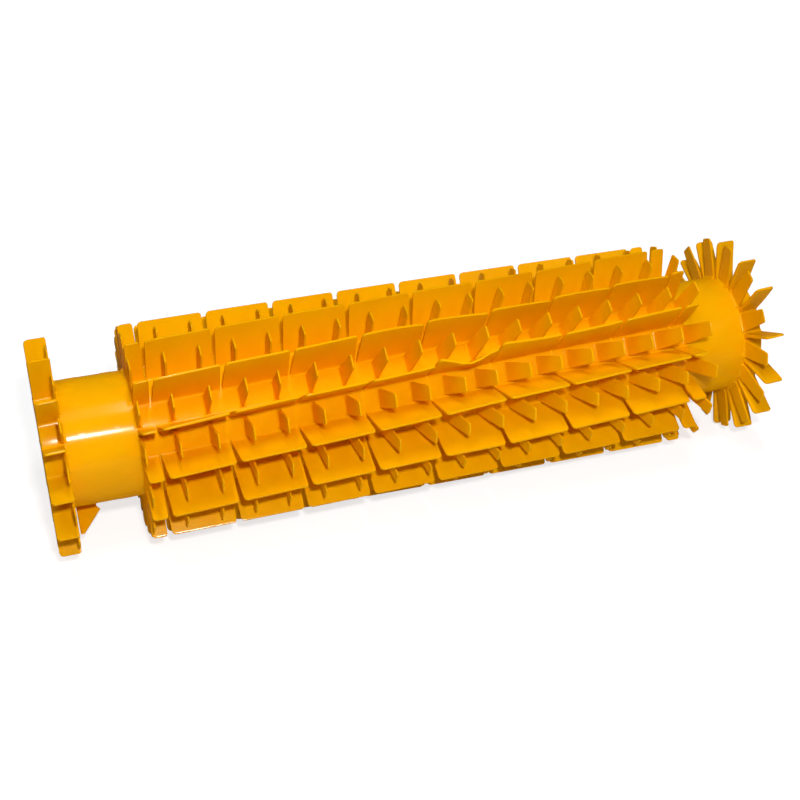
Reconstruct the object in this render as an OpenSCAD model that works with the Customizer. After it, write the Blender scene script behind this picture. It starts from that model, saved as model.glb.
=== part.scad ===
// Brush sleeve for the roller of a robotic pool cleaner, one soft moulding.
// The sleeve lies with its bore along X and its left end at the low X side.
// Millimetres. The axis of the bore is the X axis.

/* [Sleeve] */
// Diameter of the bore that fits over the roller tube
bore_d = 61; // [50:0.5:70]
// Thickness of the tube wall
wall_t = 2.5; // [1.5:0.1:4]
// Turn of the rows along the whole length, as the photo shows it
twist_deg = 22.8; // [0:0.2:30]
// Turn of the whole sleeve about its bore, as it lies
lie_deg = -5.7; // [-13:0.1:13]

/* [Paddles] */
// Number of rows of paddles round the sleeve
rows = 14; // [10:1:16]
// Length of one paddle with its slit
pitch = 36; // [30:0.5:42]
// Number of full paddles in a row
full_paddles = 8; // [4:1:10]
// Length of the short paddle at each end of a row as a share of the pitch
short_share = 0.25; // [0.2:0.01:0.4]
// Height of the paddles over the tube
paddle_h = 24; // [15:0.1:30]
// Thickness of a paddle
paddle_t = 2; // [1.4:0.1:2.4]
// Width of a slit at the outer edge of the paddles
slit_tip = 2.6; // [1:0.1:4]
// Width of a slit at the tube
slit_root = 0.8; // [0.6:0.1:1.2]
// Radius of the outer corners of the paddles
corner_r = 2.2; // [1:0.1:3]

/* [Fins] */
// Height of the cross fins over the tube
fin_h = 22.8; // [14:0.1:29]
// Width of a cross fin at the tube
fin_root_w = 10.2; // [6:0.1:11]
// Width of a cross fin at its tip
fin_tip_w = 7.8; // [4:0.1:9]
// Thickness of a cross fin
fin_t = 1.6; // [1:0.1:2.4]

/* [Ends] */
// Length of the plain band at each end
band_len = 36; // [24:0.5:48]
// Length of the paddle ring at each end
ring_len = 11; // [8:0.5:16]

/* [Seam] */
// Depth of the seam line in the wall
seam_depth = 0.7; // [0.3:0.1:1]
// Width of the seam line
seam_w = 0.7; // [0.5:0.1:0.9]
// Width along the sleeve of the strap that closes the seam in each band
strap_w = 11.5; // [8:0.5:18]
// Thickness of the strap over the tube
strap_t = 1.8; // [1:0.1:2.4]
// Part of a turn that a strap lies on the tube, in degrees
strap_deg = 46; // [30:1:70]
// Clear space between a strap and the ring beside it
strap_gap = 1; // [0.5:0.1:3]
// Length of the free tongue that hangs from the left strap
tongue_len = 36; // [24:0.5:40]
// Width of the tongue, a little less than the strap
tongue_w = 10.5; // [6:0.5:11]
// Length of the slanted end of the tongue
tongue_tip = 14; // [8:0.5:18]
// Width of the blunt point of the tongue
tongue_point = 2; // [1:0.1:4]
// How far the barb of the tongue stands out past its edge
tongue_barb = 1.6; // [1:0.1:4]
// Slope between the barb and the straight edge of the tongue
barb_run = 2; // [1:0.1:4]

/* [Hidden] */
tube_r = bore_d / 2 + wall_t;
main_len = pitch * (full_paddles + 2 * short_share);
total_len = main_len + 2 * band_len + 2 * ring_len;
outer_r = tube_r + paddle_h;
fin_r = tube_r + fin_h;
root_r = tube_r - wall_t / 2;
step_deg = 360 / rows;
short_len = pitch * short_share;
// A row follows the turn of the sleeve, so each straight paddle leans a little.
lean_deg = atan((tube_r + paddle_h / 2) * twist_deg / total_len * PI / 180);
stations = round(2 * main_len / pitch);
station_gap = main_len / stations;
// The seam runs in the channel past row 7, between its fins and the next row.
seam_row = 7.5;
seam_off = (asin(fin_root_w / 2 / tube_r) + step_deg / 2 - asin(paddle_t / 2 / tube_r)) / 2;
seam_cells = round(total_len / pitch);
cell_len = total_len / seam_cells;
strap_x = main_len / 2 + band_len - strap_gap - strap_w / 2;
// A strap reaches into the wall deeper than the seam line that it closes.
sunk = (seam_depth + wall_t) / 2;
sleeve_colour = [0.98, 0.68, 0.02];

// The angle of row k at the station x, from straight up towards the front.
function turn(x, k) = lie_deg + k * step_deg - twist_deg * x / total_len;

// One corner arc of a paddle outline, from angle a to a + 90.
function arc(cx, cz, r, a) = [for (i = [0:3]) [cx + r * cos(a + 30 * i), cz + r * sin(a + 30 * i)]];

module at_row(x, k) {
    translate([x, 0, 0]) rotate([turn(x, k), 0, 0]) children();
}

// A flat paddle from x0 to x1 along the row; the gaps g0 and g1 widen towards the outer edge.
module paddle(x0, x1, k, g0, g1) {
    half = (x1 - x0) / 2;
    base0 = -half + g0 * slit_root / 2;
    base1 = half - g1 * slit_root / 2;
    top0 = -half + g0 * slit_tip / 2;
    top1 = half - g1 * slit_tip / 2;
    r0 = corner_r;
    r1 = corner_r * 0.6;
    at_row((x0 + x1) / 2, k)
        rotate([0, 0, lean_deg])
            rotate([90, 0, 0])
                translate([0, 0, -paddle_t / 2])
                    linear_extrude(paddle_t)
                        polygon(concat(
                            [[base0, root_r], [base1, root_r]],
                            arc(top1 - r1, outer_r - r1, r1, 0),
                            arc(top0 + r0, outer_r - r0, r0, 90)));
}

// A row of the long middle part: a short paddle, the full ones and a short one.
module row(k) {
    x0 = -main_len / 2;
    paddle(x0, x0 + short_len, k, 0, 1);
    for (i = [0:full_paddles - 1])
        paddle(x0 + short_len + i * pitch, x0 + short_len + (i + 1) * pitch, k, 1, 1);
    paddle(-x0 - short_len, -x0, k, 1, 0);
}

// A cross fin half way between rows k and k + 1.
module fin(x, k) {
    at_row(x, k + 0.5)
        rotate([90, 0, 90])
            translate([0, 0, -fin_t / 2])
                linear_extrude(fin_t)
                    polygon([
                        [-fin_root_w / 2, root_r], [fin_root_w / 2, root_r],
                        [fin_tip_w / 2, fin_r], [-fin_tip_w / 2, fin_r]]);
}

// The paddles and fins of one end ring; side is -1 on the left and 1 on the right.
module ring(side) {
    inner = main_len / 2 + band_len;
    outer = inner + ring_len;
    for (k = [0:rows - 1]) {
        paddle(min(side * inner, side * outer), max(side * inner, side * outer), k, 0, 0);
        fin(side * (inner + fin_t / 2), k);
    }
}

// The strap that lies over the seam in one band; side is -1 on the left and 1 on the right.
module strap(side) {
    rotate([0, 90, 0])
        rotate([0, 0, turn(side * strap_x, seam_row) - 180 - strap_deg / 2])
            rotate_extrude(angle = strap_deg, $fn = 84)
                translate([tube_r - sunk, side * strap_x - strap_w / 2])
                    square([strap_t + sunk, strap_w]);
}

// The free end of the left strap leaves the tube straight, towards the front.
module tongue() {
    half = tongue_w / 2;
    barb_y = tongue_len - tongue_tip;
    at_row(-strap_x, seam_row)
        translate([0, 0, tube_r - sunk / 4])
            linear_extrude(strap_t)
                polygon([
                    [-half, 0], [half, 0],
                    [half, barb_y - barb_run], [half + tongue_barb, barb_y],
                    [tongue_point - half, tongue_len], [-half, tongue_len]]);
}

// The line where the two edges of the rolled sheet meet, cut shallow into the wall.
module seam() {
    for (i = [0:seam_cells - 1]) {
        x = -total_len / 2 + (i + 0.5) * cell_len;
        at_row(x, seam_row)
            rotate([seam_off, 0, 0])
                rotate([0, 0, lean_deg])
                    translate([-(cell_len + seam_w) / 2, -seam_w / 2, tube_r - seam_depth])
                        cube([cell_len + seam_w, seam_w, 2 * seam_depth]);
    }
}

module tube() {
    rotate([0, 90, 0]) difference() {
        cylinder(r = tube_r, h = total_len, center = true, $fn = 84);
        cylinder(d = bore_d, h = total_len + 2, center = true, $fn = 84);
    }
}

module brush_sleeve() {
    color(sleeve_colour) union() {
        difference() {
            tube();
            seam();
        }
        strap(-1);
        strap(1);
        tongue();
        for (k = [0:rows - 1]) {
            row(k);
            for (i = [0:stations])
                fin(-main_len / 2 + i * station_gap + (i == 0 ? fin_t / 2 : i == stations ? -fin_t / 2 : 0), k);
        }
        ring(-1);
        ring(1);
    }
}

brush_sleeve();
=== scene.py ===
"""Dressed model of the brush sleeve of a pool cleaner's roller: one glossy soft moulding.

The sleeve lies along X with its bore on the X axis. A point of it is given by its station
along X, its row number, its height over the tube and how far it stands beside its row.
Lengths are in millimetres until a mesh is made.
"""

import math

import bmesh
import bpy
from mathutils import Matrix, Vector, noise


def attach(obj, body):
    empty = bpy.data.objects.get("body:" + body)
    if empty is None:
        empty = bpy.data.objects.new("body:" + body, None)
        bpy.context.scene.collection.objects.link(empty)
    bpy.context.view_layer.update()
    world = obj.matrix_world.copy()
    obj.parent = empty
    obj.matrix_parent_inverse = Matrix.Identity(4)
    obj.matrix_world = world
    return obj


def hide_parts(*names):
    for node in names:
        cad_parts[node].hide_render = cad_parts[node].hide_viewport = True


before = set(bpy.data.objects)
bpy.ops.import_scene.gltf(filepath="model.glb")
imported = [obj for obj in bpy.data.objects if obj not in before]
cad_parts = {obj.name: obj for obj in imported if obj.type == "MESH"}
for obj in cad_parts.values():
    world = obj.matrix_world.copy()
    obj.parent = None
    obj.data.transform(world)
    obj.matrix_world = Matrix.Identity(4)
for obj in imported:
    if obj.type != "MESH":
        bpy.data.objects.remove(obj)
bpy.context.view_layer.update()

MM = 0.001

# Sizes, the same as in part.scad.
BORE_R = 30.5
WALL_T = 2.5
ROWS = 14
PITCH = 36.0
FULL_PADDLES = 8
SHORT_LEN = 9.0
BAND_LEN = 36.0
RING_LEN = 11.0
TWIST = math.radians(22.8)
LIE = math.radians(-5.7)
PADDLE_H = 24.0
PADDLE_T = 2.0
SLIT_TIP = 2.6
SLIT_ROOT = 0.8
CORNER_R = 2.2
FAR_CORNER_R = CORNER_R * 0.6
FIN_H = 22.8
FIN_ROOT_W = 10.2
FIN_TIP_W = 7.8
FIN_T = 1.6
SEAM_ROW = 7.5
SEAM_W = 0.7
SEAM_DEPTH = 0.7
STRAP_W = 11.5
STRAP_T = 1.8
STRAP_GAP = 1.0
STRAP_SPAN = math.radians(46)
TONGUE_W = 10.5
TONGUE_LEN = 36.0
TONGUE_TIP = 14.0
TONGUE_POINT = 2.0
TONGUE_BARB = 1.6
BARB_RUN = 2.0

# Sizes that follow from them.
TUBE_R = BORE_R + WALL_T
STEP = 2 * math.pi / ROWS
MAIN_LEN = FULL_PADDLES * PITCH + 2 * SHORT_LEN
MAIN_END = MAIN_LEN / 2
BAND_END = MAIN_END + BAND_LEN
SLEEVE_END = BAND_END + RING_LEN
TOTAL_LEN = 2 * SLEEVE_END
FIN_GAP = PITCH / 2
STRAP_X = BAND_END - STRAP_GAP - STRAP_W / 2
BARB_AT = TONGUE_LEN - TONGUE_TIP
SEAM_OFF = (
    math.asin(FIN_ROOT_W / 2 / TUBE_R) + STEP / 2 - math.asin(PADDLE_T / 2 / TUBE_R)
) / 2

# Small forms that only the dressed model has.
PADDLE_TIP_T = 1.25
FIN_TIP_T = 0.9
FIN_CORNER_R = 1.3
EDGE_R = 0.3
STRAP_EDGE_R = 0.6
TUBE_EDGE_R = 0.5
BORE_EDGE_R = 0.4
FILLET = 1.4
ROOT_SINK = 1.2
STRAP_SINK = 0.6
TONGUE_SINK = 0.4
TONGUE_CURL = 0.0016
MARK_R = 3.15
MARK_RISE = 0.13
MARK_SINK = 0.1
MARKS_IN_CHANNEL = 20

# How many mesh cells each round or long form has.
TUBE_CELLS = 66
BORE_CELLS = 24
STRAP_CELLS = 24
MARK_SIDES = 28

# The largest unevenness of each soft form.
TUBE_UNEVEN = 0.08
PADDLE_UNEVEN = 0.8
FIN_UNEVEN = 1.3

# How far the soft rows lean at their tips right of the middle; behind the row is positive.
RIGHT_LEAN = {0: -1.4, 1: -1.3, 2: 1.6, 4: -1.3}
LEAN_START, LEAN_FULL = -10.0, 40.0
# One row sags at the far end of each paddle, and the next one has a wave in it.
SAGGING_ROW = 1
PADDLE_SAG = 1.8
SAG_START, SAG_FULL = -40.0, 0.0
WAVY_ROW = 2
WAVE_H = 2.9
WAVE_DROP = 3.6
LIFT = 2.4
# The cross fins lean to the right past these stations, more so towards the bottom.
FIN_LEAN_START, FIN_LEAN_FULL = -90.0, 40.0
FIN_LEAN_MAX = 6.0
# The upper paddles of the right ring are a little shorter than the others.
SHORT_RING_ROWS = (10, 11, 12, 13, 0, 1)
RING_SHORTER = 2.3


def turn(x, k):
    """Angle of row k at the station x, from straight up towards the front."""
    return LIE + k * STEP - TWIST * x / TOTAL_LEN


def place(x, k, beside, radius):
    """The point at station x, standing beside row k, at a radius from the bore's axis."""
    a = turn(x, k)
    s, c = math.sin(a), math.cos(a)
    return Vector((x, beside * c - radius * s, beside * s + radius * c))


def waver(x, y, z, scale, amount):
    """A soft, smooth unevenness, the same at each run."""
    return amount * noise.noise(Vector((x, y, z)) * scale)


def ease(x, low, high):
    """0 below low, 1 above high and a smooth rise between them."""
    t = min(max((x - low) / (high - low), 0.0), 1.0)
    return t * t * (3 - 2 * t)


# The mesh of one moulded plate: a paddle, a fin or the tongue


def edge_levels(length, radius, middles, r0, r1):
    """Places across a plate: close together at its two rounded edges, even between them."""
    low = [0.0, 0.3 * radius, radius, max(r0, 1.6 * radius)]
    high = [length - max(r1, 1.6 * radius), length - radius, length - 0.3 * radius, length]
    gap = (high[0] - low[-1]) / (middles + 1)
    return low + [low[-1] + gap * (i + 1) for i in range(middles)] + high


def height_levels(height, corner, middles):
    """Heights of a plate's mesh lines, from below the tube's surface to its outer edge."""
    gap = (height - corner - FILLET) / (middles + 1)
    foot = [FILLET * s for s in (0.0, 0.12, 0.3, 0.6)]
    even = [FILLET + gap * i for i in range(middles + 1)]
    top = [height - corner * s for s in (1.0, 0.55, 0.24, 0.06, 0.0)]
    return [-ROOT_SINK] + foot + even + top


def corner_cut(h, height, r):
    """How far a rounded corner draws the side edge in at the height h."""
    over = h - (height - r)
    return 0.0 if over <= 0 else r - math.sqrt(max(r * r - over * over, 0.0))


def rim_depth(a, h, left, right, height, r0, r1):
    """Distance of a point of the plate from the plate's outline."""
    top = height - h
    d = min(a - left, right - a, top)
    if h > height - r0 and a < left + r0:
        d = r0 - math.hypot(a - left - r0, h - height + r0)
    if h > height - r1 and a > right - r1:
        d = r1 - math.hypot(a - right + r1, h - height + r1)
    return max(d, 0.0)


def rounding(depth, r):
    """How far an edge of radius r lies below its flat face, at a distance from the rim."""
    over = r - max(depth, 0.0)
    return 0.0 if over <= 0 else r - math.sqrt(r * r - over * over)


def half_thickness(depth, h, height, root_t, tip_t):
    """Half the thickness of a plate: thinner to its tip, round at the rim, flared at the root."""
    up = max(h, 0.0)
    half = (root_t + (tip_t - root_t) * up / height) / 2 - rounding(depth, EDGE_R)
    if up < FILLET:
        half += FILLET - math.sqrt(FILLET**2 - (FILLET - up) ** 2)
    return half


def plate(bm, side_at, height, r0, r1, root_t, tip_t, across, up, point):
    """Adds one plate. side_at(h) gives its two side edges, and point(a, h, w) its place."""
    sheets = {-1: [], 1: []}
    for h in height_levels(height, max(r0, r1), up):
        left, right = side_at(h)
        in0, in1 = corner_cut(h, height, r0), corner_cut(h, height, r1)
        span = (right - in1) - (left + in0)
        for sign in (-1, 1):
            line = []
            for s in edge_levels(span, EDGE_R, across, r0 - in0, r1 - in1):
                a = left + in0 + s
                depth = rim_depth(a, h, left, right, height, r0, r1)
                w = sign * half_thickness(depth, h, height, root_t, tip_t)
                line.append(bm.verts.new(point(a, h, w)))
            sheets[sign].append(line)
    close_sheets(bm, sheets[-1], sheets[1])


def close_sheets(bm, back, front):
    """Faces of a plate from the mesh lines of its back and its front."""
    for low_f, high_f, low_b, high_b in zip(front, front[1:], back, back[1:]):
        for i in range(len(low_f) - 1):
            bm.faces.new((low_f[i], low_f[i + 1], high_f[i + 1], high_f[i]))
            bm.faces.new((low_b[i + 1], low_b[i], high_b[i], high_b[i + 1]))
        bm.faces.new((low_b[0], low_f[0], high_f[0], high_b[0]))
        bm.faces.new((low_f[-1], low_b[-1], high_b[-1], high_f[-1]))
    for i in range(len(front[0]) - 1):
        bm.faces.new((front[-1][i], front[-1][i + 1], back[-1][i + 1], back[-1][i]))
        bm.faces.new((front[0][i + 1], front[0][i], back[0][i], back[0][i + 1]))


def join_rings(bm, a, b):
    """Faces between two closed rings with the same number of points."""
    for i in range(len(a)):
        j = (i + 1) % len(a)
        bm.faces.new((a[i], a[j], b[j], b[i]))


def finish_mesh(name, bm, smooth_angle=40):
    """Turns the collected geometry into one shown piece of the sleeve."""
    bmesh.ops.recalc_face_normals(bm, faces=bm.faces)
    bm.transform(Matrix.Scale(MM, 4))
    mesh = bpy.data.meshes.new(name)
    bm.to_mesh(mesh)
    bm.free()
    mesh.polygons.foreach_set("use_smooth", [True] * len(mesh.polygons))
    mesh.set_sharp_from_angle(angle=math.radians(smooth_angle))
    piece = bpy.data.objects.new(name, mesh)
    bpy.context.scene.collection.objects.link(piece)
    weighted = piece.modifiers.new("soft_edges", "WEIGHTED_NORMAL")
    weighted.keep_sharp = True
    weighted.weight = 60
    mesh.materials.append(soft_pvc)
    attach(piece, "root")
    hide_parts("brush_sleeve")


# Paddles


def paddle(bm, x0, x1, k, slit0, slit1, across, height=PADDLE_H):
    """One paddle of row k between the stations x0 and x1; a slit takes part of its ends."""

    def sides(h):
        share = (max(h, 0.0) + WALL_T) / (PADDLE_H + WALL_T)
        cut = (SLIT_ROOT + (SLIT_TIP - SLIT_ROOT) * share) / 2
        return x0 + slit0 * cut, x1 - slit1 * cut

    def point(a, h, w):
        return place(a, k, w + paddle_bend(a, k, h), TUBE_R + h)

    plate(bm, sides, height, CORNER_R, FAR_CORNER_R, PADDLE_T, PADDLE_TIP_T, across, 4, point)


def paddle_bend(x, k, h):
    """How far the soft paddle leans or waves at a height; behind the row is positive."""
    up = max(h, 0.0) / PADDLE_H
    lean = waver(x * 0.35, k * 31.7, 4.0, 0.05, PADDLE_UNEVEN)
    lean += RIGHT_LEAN.get(k, 0.0) * ease(x, LEAN_START, LEAN_FULL)
    if k == SAGGING_ROW:
        lean -= PADDLE_SAG * ease(x, SAG_START, SAG_FULL) * paddle_share(x) ** 2
    if k == WAVY_ROW:
        lean += wave(x)
    return lean * up**1.7


def paddle_share(x):
    """How far along its own full paddle a station is, from 0 to 1."""
    return ((x + MAIN_END - SHORT_LEN) / PITCH) % 1


def wave(x):
    """The wave in the paddle right of the middle, and the lifted corner of the one after it."""
    share = paddle_share(x)
    if 0 <= x < PITCH:
        return WAVE_H * math.cos(2 * math.pi * share) - WAVE_DROP * share**3
    if PITCH <= x < 2 * PITCH:
        return LIFT * (1 - share) ** 2
    return 0.0


def make_paddles():
    bm = bmesh.new()
    for k in range(ROWS):
        paddle(bm, -MAIN_END, -MAIN_END + SHORT_LEN, k, 0, 1, 1)
        for i in range(FULL_PADDLES):
            x = -MAIN_END + SHORT_LEN + i * PITCH
            paddle(bm, x, x + PITCH, k, 1, 1, 5)
        paddle(bm, MAIN_END - SHORT_LEN, MAIN_END, k, 1, 0, 1)
        paddle(bm, -SLEEVE_END, -BAND_END, k, 0, 0, 1)
        shorter = RING_SHORTER if k in SHORT_RING_ROWS else 0.0
        paddle(bm, BAND_END, SLEEVE_END, k, 0, 0, 1, PADDLE_H - shorter)
    finish_mesh("paddles", bm)


# Cross fins


def fin(bm, x, k):
    """A cross fin at station x, half way between rows k and k + 1."""

    def sides(h):
        half = FIN_ROOT_W / 2 + (FIN_TIP_W - FIN_ROOT_W) / 2 * max(h, 0.0) / FIN_H
        return -half, half

    def point(a, h, w):
        up = max(h, 0.0) / FIN_H
        shift = waver(x, k * 17.3, 9.0, 0.31, FIN_UNEVEN) * up**1.5 + fin_lean(x, k) * up**1.2
        return place(x + w + shift, k + 0.5, a, TUBE_R + h)

    plate(bm, sides, FIN_H, FIN_CORNER_R, FIN_CORNER_R, FIN_T, FIN_TIP_T, 1, 3, point)


def fin_lean(x, k):
    """How far the tip of a fin leans to the right; the fins of the end rings stand straight."""
    if abs(x) > MAIN_END:
        return 0.0
    rows_from_top = (k + 3) % ROWS
    return min(rows_from_top, FIN_LEAN_MAX) * ease(x, FIN_LEAN_START, FIN_LEAN_FULL)


def make_fins():
    bm = bmesh.new()
    stations = round(MAIN_LEN / FIN_GAP)
    for k in range(ROWS):
        for i in range(stations + 1):
            nudge = FIN_T / 2 if i == 0 else -FIN_T / 2 if i == stations else 0.0
            fin(bm, -MAIN_END + i * FIN_GAP + nudge, k)
        fin(bm, -BAND_END - FIN_T / 2, k)
        fin(bm, BAND_END + FIN_T / 2, k)
    finish_mesh("cross_fins", bm)


# The tube with its seam line


def seam_dip(k):
    """Depth of the seam line at the row number k, a fraction."""
    off = abs((k - SEAM_ROW) * STEP - SEAM_OFF) * TUBE_R
    return SEAM_DEPTH * max(0.0, 1 - (2 * off / SEAM_W) ** 2) if off < SEAM_W / 2 else 0.0


def tube_lines():
    """Row numbers of the tube's lengthwise mesh lines, closer together at the seam."""
    middle = SEAM_ROW + SEAM_OFF / STEP
    half = SEAM_W / 2 / TUBE_R / STEP
    lines = [i / 8 for i in range(8 * ROWS)]
    lines = [k for k in lines if abs(k - middle) > 1.5 * half]
    lines += [middle + half * s for s in (-1.3, -1.0, -0.6, 0.0, 0.6, 1.0, 1.3)]
    return sorted(lines)


def tube_stations():
    """Stations of the tube's outer rings, each with its drop below the full radius."""
    flat = SLEEVE_END - TUBE_EDGE_R
    cut = 0.3 * TUBE_EDGE_R
    right = [(flat, 0.0), (SLEEVE_END - cut, cut), (SLEEVE_END, TUBE_EDGE_R)]
    left = [(-x, drop) for x, drop in reversed(right)]
    gap = 2 * flat / TUBE_CELLS
    return left + [(-flat + gap * i, 0.0) for i in range(1, TUBE_CELLS)] + right


def bore_stations():
    """Stations of the bore's rings from right to left; the first and last are its rims."""
    inner = SLEEVE_END - BORE_EDGE_R
    even = [inner - 2 * inner * i / BORE_CELLS for i in range(1, BORE_CELLS)]
    return [SLEEVE_END, inner] + even + [-inner, -SLEEVE_END]


def make_tube():
    bm = bmesh.new()
    lines = tube_lines()
    rings = []
    for x, drop in tube_stations():
        ring = []
        for k in lines:
            r = TUBE_R - drop - seam_dip(k) + waver(x, k * 9, 2.0, 0.06, TUBE_UNEVEN)
            ring.append(bm.verts.new(place(x, k, 0.0, r)))
        rings.append(ring)
    for x in bore_stations():
        r = BORE_R + (BORE_EDGE_R if abs(x) == SLEEVE_END else 0.0)
        rings.append([bm.verts.new(place(x, k, 0.0, r)) for k in lines])
    for a, b in zip(rings, rings[1:] + rings[:1]):
        join_rings(bm, a, b)
    finish_mesh("tube", bm, 50)


# Round marks of the mould's ejector pins on the floors of the channels


def mark(bm, x, k):
    """One flat round mark that stands slightly proud of the tube."""
    foot = mark_ring(bm, x, k, MARK_R, -MARK_SINK)
    side = mark_ring(bm, x, k, MARK_R, MARK_RISE * 0.6)
    rim = mark_ring(bm, x, k, MARK_R * 0.955, MARK_RISE)
    inner = mark_ring(bm, x, k, MARK_R * 0.5, MARK_RISE)
    middle = bm.verts.new(place(x, k, 0.0, TUBE_R + MARK_RISE))
    join_rings(bm, foot, side)
    join_rings(bm, side, rim)
    join_rings(bm, rim, inner)
    for i in range(MARK_SIDES):
        bm.faces.new((inner[i], inner[(i + 1) % MARK_SIDES], middle))
    bm.faces.new(list(reversed(foot)))


def mark_ring(bm, x, k, radius, rise):
    """A ring of points round the middle of a mark, bent with the tube."""
    ring = []
    for i in range(MARK_SIDES):
        a = 2 * math.pi * i / MARK_SIDES
        dx, dt = radius * math.cos(a), radius * math.sin(a)
        ring.append(bm.verts.new(place(x + dx, k + dt / TUBE_R / STEP, 0.0, TUBE_R + rise)))
    return ring


def make_marks():
    bm = bmesh.new()
    first = -MAIN_END - 1.5 * FIN_GAP
    for k in range(ROWS):
        for i in range(MARKS_IN_CHANNEL):
            x = first + i * FIN_GAP
            under_strap = k + 0.5 == SEAM_ROW and abs(x) > STRAP_X - STRAP_W / 2 - MARK_R
            if not under_strap:
                mark(bm, x, k + 0.5)
    finish_mesh("pin_marks", bm, 60)


# The straps over the seam and the free tongue


def strap(bm, side):
    """A strap round part of the tube, its edges rounded."""
    left = side * STRAP_X - STRAP_W / 2
    middle = turn(side * STRAP_X, SEAM_ROW)
    rim = (0.0, 0.2, STRAP_EDGE_R, 3.0)
    width = [*rim, STRAP_W / 2] + [STRAP_W - w for w in reversed(rim)]
    rings = []
    for i in range(STRAP_CELLS + 1):
        share = i / STRAP_CELLS
        angle = middle + (share - 0.5) * STRAP_SPAN
        along = min(share, 1 - share) * STRAP_SPAN * TUBE_R
        ring = []
        for w in width:
            drop = rounding(min(w, STRAP_W - w, along), STRAP_EDGE_R)
            ring.append((left + w, TUBE_R + STRAP_T - drop))
        ring += [(left + STRAP_W, TUBE_R - STRAP_SINK), (left, TUBE_R - STRAP_SINK)]
        rings.append([bm.verts.new(place_round(x, angle, r)) for x, r in ring])
    for a, b in zip(rings, rings[1:]):
        join_rings(bm, a, b)
    bm.faces.new(rings[0])
    bm.faces.new(list(reversed(rings[-1])))


def place_round(x, angle, radius):
    """A point of a strap at an angle from straight up towards the front."""
    return Vector((x, -radius * math.sin(angle), radius * math.cos(angle)))


def tongue(bm):
    """The free end of the left strap, a barbed tongue that leaves the tube straight."""
    half = TONGUE_W / 2
    sheets = {-1: [], 1: []}
    for y in tongue_lines():
        right = tongue_edge(y)
        for sign in (-1, 1):
            line = []
            for share in (0.0, 0.06, 0.2, 0.5, 0.8, 0.94, 1.0):
                a = -half + (right + half) * share
                depth = min(a + half, right - a, TONGUE_LEN - y)
                thick = STRAP_T / 2 - rounding(depth, STRAP_EDGE_R)
                curl = TONGUE_CURL * y * y
                radius = TUBE_R - TONGUE_SINK + STRAP_T / 2 + sign * thick - curl
                line.append(bm.verts.new(place_flat(-STRAP_X + a, y, radius)))
            sheets[sign].append(line)
    close_sheets(bm, sheets[-1], sheets[1])


def tongue_lines():
    """Mesh lines across the tongue, closer together at its barb and at its end."""
    straight = [0.0, 4.0, 8.0, 12.0, 16.0]
    barb = [BARB_AT + s for s in (-BARB_RUN, -1.2, -0.4, 0.0, 1.5, 4.5, 8.0, 11.0)]
    end = [TONGUE_LEN - s for s in (1.0, 0.3, 0.0)]
    return straight + barb + end


def tongue_edge(y):
    """How far the barbed edge of the tongue stands from its middle line."""
    half = TONGUE_W / 2
    if y > BARB_AT:
        share = (y - BARB_AT) / TONGUE_TIP
        return (half + TONGUE_BARB) * (1 - share) + (TONGUE_POINT - half) * share
    return half + TONGUE_BARB * max(y - BARB_AT + BARB_RUN, 0.0) / BARB_RUN


def place_flat(x, y, radius):
    """A point of the tongue, in the plane that touches the tube at the strap."""
    a = turn(-STRAP_X, SEAM_ROW)
    s, c = math.sin(a), math.cos(a)
    return Vector((x, y * c - radius * s, y * s + radius * c))


def make_straps():
    bm = bmesh.new()
    strap(bm, -1)
    strap(bm, 1)
    tongue(bm)
    finish_mesh("seam_straps", bm)


# Material

DEEP_ORANGE = (0.92, 0.415, 0.0005, 1)
PALE_ORANGE = (0.95, 0.455, 0.001, 1)


def node(tree, kind, **values):
    """A shader node; a value is one of its settings or else the socket of that name."""
    made = tree.nodes.new(kind)
    for name, value in values.items():
        if hasattr(made, name):
            setattr(made, name, value)
        else:
            made.inputs[name.replace("_", " ")].default_value = value
    return made


def cloud(tree, where, scale, detail, roughness):
    """Noise in the coordinates of the piece itself."""
    made = node(tree, "ShaderNodeTexNoise", Scale=scale, Detail=detail, Roughness=roughness)
    tree.links.new(where.outputs["Object"], made.inputs["Vector"])
    return made.outputs["Fac"]


def uneven_tint(tree, where):
    """The orange, with a slight change of tone over the moulding."""
    tint = node(tree, "ShaderNodeValToRGB")
    deep, pale = tint.color_ramp.elements
    deep.position, deep.color = 0.34, DEEP_ORANGE
    pale.position, pale.color = 0.66, PALE_ORANGE
    tree.links.new(cloud(tree, where, 22.0, 3.0, 0.5), tint.inputs["Fac"])
    return tint.outputs["Color"]


def uneven_gloss(tree, where):
    """A roughness that changes in small smears."""
    gloss = node(tree, "ShaderNodeMapRange", To_Min=0.25, To_Max=0.45)
    tree.links.new(cloud(tree, where, 60.0, 4.0, 0.6), gloss.inputs["Value"])
    return gloss.outputs["Result"]


def uneven_skin(tree, where):
    """Fine moulding grain on broad slight waves."""
    fine = node(tree, "ShaderNodeBump", Strength=0.12, Distance=0.0001)
    tree.links.new(cloud(tree, where, 900.0, 2.0, 0.5), fine.inputs["Height"])
    broad = node(tree, "ShaderNodeBump", Strength=0.35, Distance=0.0008)
    tree.links.new(cloud(tree, where, 70.0, 2.0, 0.5), broad.inputs["Height"])
    tree.links.new(fine.outputs["Normal"], broad.inputs["Normal"])
    return broad.outputs["Normal"]


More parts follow.
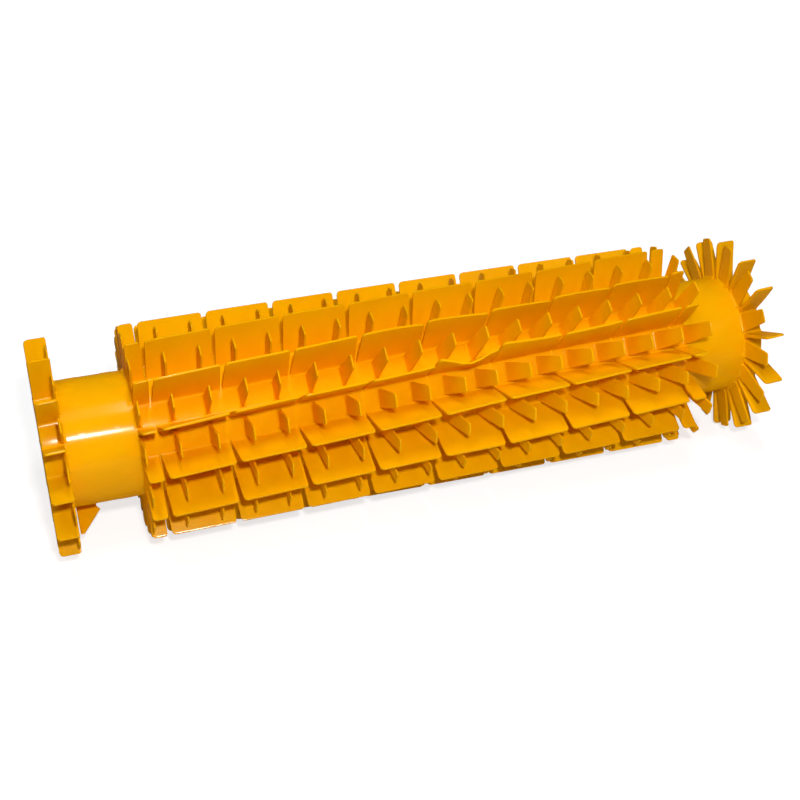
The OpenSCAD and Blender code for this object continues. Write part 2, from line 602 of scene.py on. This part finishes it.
def make_soft_pvc():
    """Glossy, slightly translucent soft PVC with an uneven moulded skin."""
    mat = bpy.data.materials.new("soft_pvc")
    mat.use_nodes = True
    tree = mat.node_tree
    shader = tree.nodes["Principled BSDF"]
    where = node(tree, "ShaderNodeTexCoord")
    tree.links.new(uneven_tint(tree, where), shader.inputs["Base Color"])
    tree.links.new(uneven_gloss(tree, where), shader.inputs["Roughness"])
    tree.links.new(uneven_skin(tree, where), shader.inputs["Normal"])
    shader.inputs["Subsurface Weight"].default_value = 0.1
    shader.inputs["Subsurface Radius"].default_value = (1.0, 0.5, 0.1)
    shader.inputs["Subsurface Scale"].default_value = 0.001
    shader.inputs["IOR"].default_value = 1.5
    shader.inputs["Specular IOR Level"].default_value = 0.0
    shader.inputs["Coat Weight"].default_value = 0.22
    shader.inputs["Coat Roughness"].default_value = 0.14
    return mat


# Stage, in metres

FLOOR_HALF = 6.0
FLOOR_Z = -(TUBE_R + PADDLE_H) * MM - 0.0002
FLOOR_BOUNCE = 0.75
FLOOR_MIRRORED = 0.25
FLOOR_SEEN = 0.5
FLOOR_GLOW_NEAR, FLOOR_GLOW_FAR = 0.74, 1.0
GLOW_NEAR_AT, GLOW_FAR_AT = 0.25, 0.8
WORLD_LIGHT = 0.02
KEY_LIGHT = 430.0
KEY_AT = (-0.145, -0.62, 0.6)
SIDE_LIGHT = 3.0
SIDE_AT = (0.75, -0.9, 1.0)
TOP_LIGHT = 3.6
TOP_AT = (-0.35, -0.15, 1.4)
GLINT_LIGHT = 80.0
GLINT_AT = (0.0, -0.12, 1.4)
CAMERA_AT = (-0.20497, -0.57118, 0.43098)
CAMERA_YAW = 0.33520
CAMERA_PITCH = 0.62900
CAMERA_ROLL = 0.03080
CAMERA_LENS = 60.67


def make_floor():
    half = FLOOR_HALF
    bm = bmesh.new()
    for x, y in ((-half, -half), (half, -half), (half, half), (-half, half)):
        bm.verts.new((x, y, FLOOR_Z))
    bm.faces.new(bm.verts)
    mesh = bpy.data.meshes.new("floor")
    bm.to_mesh(mesh)
    bm.free()
    floor = bpy.data.objects.new("floor", mesh)
    bpy.context.scene.collection.objects.link(floor)
    mesh.materials.append(make_floor_white())


def make_floor_white():
    """White where the camera sees it and pale grey to the light that it throws back."""
    mat = bpy.data.materials.new("floor_white")
    mat.use_nodes = True
    tree = mat.node_tree
    shader = tree.nodes["Principled BSDF"]
    shader.inputs["Roughness"].default_value = 0.9
    shader.inputs["Specular IOR Level"].default_value = 0.0
    shader.inputs["Emission Color"].default_value = (1, 1, 1, 1)
    path = node(tree, "ShaderNodeLightPath")
    tree.links.new(floor_grey(tree, path), shader.inputs["Base Color"])
    tree.links.new(floor_glow(tree, path), shader.inputs["Emission Strength"])
    return mat


def floor_grey(tree, path):
    """The floor's own grey: one for mirrored light, one for the camera, one for the rest."""
    mirrored = node(tree, "ShaderNodeMapRange", To_Min=FLOOR_BOUNCE, To_Max=FLOOR_MIRRORED)
    tree.links.new(path.outputs["Is Glossy Ray"], mirrored.inputs["Value"])
    seen = node(tree, "ShaderNodeMapRange", To_Max=FLOOR_SEEN)
    tree.links.new(mirrored.outputs["Result"], seen.inputs["To Min"])
    tree.links.new(path.outputs["Is Camera Ray"], seen.inputs["Value"])
    return seen.outputs["Result"]


def floor_glow(tree, path):
    """What lifts the floor to white for the camera, less near the sleeve to keep its shadow."""
    where = node(tree, "ShaderNodeTexCoord")
    away = node(tree, "ShaderNodeVectorMath", operation="LENGTH")
    tree.links.new(where.outputs["Object"], away.inputs[0])
    rise = node(tree, "ShaderNodeMapRange", From_Min=GLOW_NEAR_AT, From_Max=GLOW_FAR_AT)
    rise.inputs["To Min"].default_value = FLOOR_GLOW_NEAR
    rise.inputs["To Max"].default_value = FLOOR_GLOW_FAR
    tree.links.new(away.outputs["Value"], rise.inputs["Value"])
    glow = node(tree, "ShaderNodeMath", operation="MULTIPLY")
    tree.links.new(path.outputs["Is Camera Ray"], glow.inputs[0])
    tree.links.new(rise.outputs["Result"], glow.inputs[1])
    return glow.outputs["Value"]


def softbox(name, place_at, wide, high, brightness, mirrored=True):
    """A lamp aimed at the sleeve, its face as bright as the number says; 1 is white."""
    lamp = bpy.data.lights.new(name, "AREA")
    lamp.shape = "RECTANGLE"
    lamp.size, lamp.size_y = wide, high
    lamp.energy = brightness * math.pi * wide * high
    made = bpy.data.objects.new(name, lamp)
    made.location = place_at
    made.visible_glossy = mirrored
    way = Vector((0, 0, 0)) - made.location
    made.rotation_mode = "QUATERNION"
    made.rotation_quaternion = way.to_track_quat("-Z", "Y")
    bpy.context.scene.collection.objects.link(made)


def make_lights():
    world = bpy.data.worlds.new("studio")
    world.use_nodes = True
    world.node_tree.nodes["Background"].inputs["Color"].default_value = (1, 1, 1, 1)
    world.node_tree.nodes["Background"].inputs["Strength"].default_value = WORLD_LIGHT
    bpy.context.scene.world = world
    softbox("key_box", KEY_AT, 0.06, 0.05, KEY_LIGHT)
    softbox("side_box", SIDE_AT, 0.5, 0.5, SIDE_LIGHT, mirrored=False)
    softbox("top_box", TOP_AT, 0.7, 0.7, TOP_LIGHT, mirrored=False)
    softbox("glint_strip", GLINT_AT, 0.03, 0.45, GLINT_LIGHT)


def make_camera():
    """The camera stands where the photograph was taken from."""
    level_share = math.cos(CAMERA_PITCH)
    ahead = math.cos(CAMERA_YAW) * level_share
    way = Vector((math.sin(CAMERA_YAW) * level_share, ahead, -math.sin(CAMERA_PITCH)))
    level = way.cross(Vector((0, 0, 1))).normalized()
    upright = level.cross(way)
    right = level * math.cos(CAMERA_ROLL) + upright * math.sin(CAMERA_ROLL)
    up = upright * math.cos(CAMERA_ROLL) - level * math.sin(CAMERA_ROLL)
    lens = bpy.data.cameras.new("camera")
    lens.sensor_width = 36
    lens.lens = CAMERA_LENS
    lens.clip_start, lens.clip_end = 0.01, 30
    camera = bpy.data.objects.new("camera", lens)
    turned = Matrix((right, up, -way)).transposed().to_4x4()
    camera.matrix_world = Matrix.Translation(Vector(CAMERA_AT)) @ turned
    bpy.context.scene.collection.objects.link(camera)
    bpy.context.scene.camera = camera


bpy.context.scene.view_settings.view_transform = "Standard"
make_camera()
soft_pvc = make_soft_pvc()
make_tube()
make_paddles()
make_fins()
make_marks()
make_straps()
make_floor()
make_lights()
